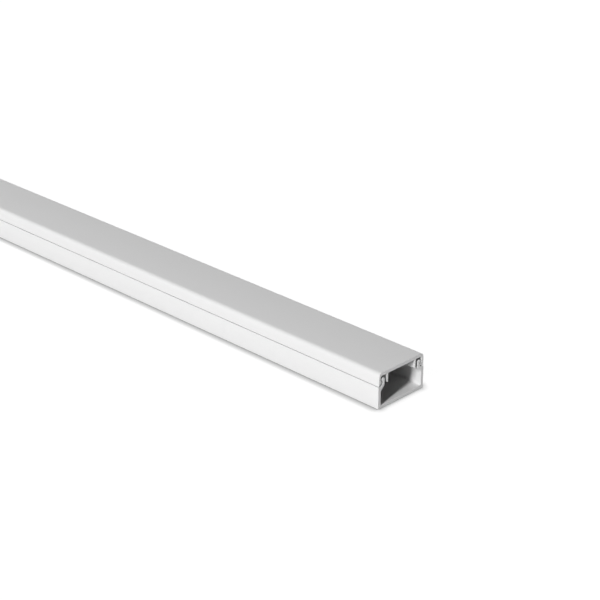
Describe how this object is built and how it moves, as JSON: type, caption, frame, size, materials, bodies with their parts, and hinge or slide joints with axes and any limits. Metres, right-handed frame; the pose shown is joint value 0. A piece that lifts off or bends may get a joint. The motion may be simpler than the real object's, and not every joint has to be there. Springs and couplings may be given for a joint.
{
  "type": "mini cable trunking",
  "caption": "Straight white plastic cable trunking: a U-shaped wall channel with hooked lips and a clip-on lid, open at both ends.",
  "frame": {"origin": "middle of the back face, the flat outside of the channel's floor that is fixed to a wall", "axes": "+X along the length, +Y across the width, +Z from the back face towards the lid"},
  "size_m": [1, 0.024, 0.014],
  "materials": {
    "white_pvc": "satin"
  },
  "bodies": {
    "channel": {"base_channel": "white_pvc"},
    "lid": {"snap_lid": "white_pvc"}
  },
  "joints": [
    {"name": "lid_slide", "type": "slide", "parent": "channel", "child": "lid", "axis": [1, 0, 0], "range_m": [-1.02, 1.02]}
  ]
}
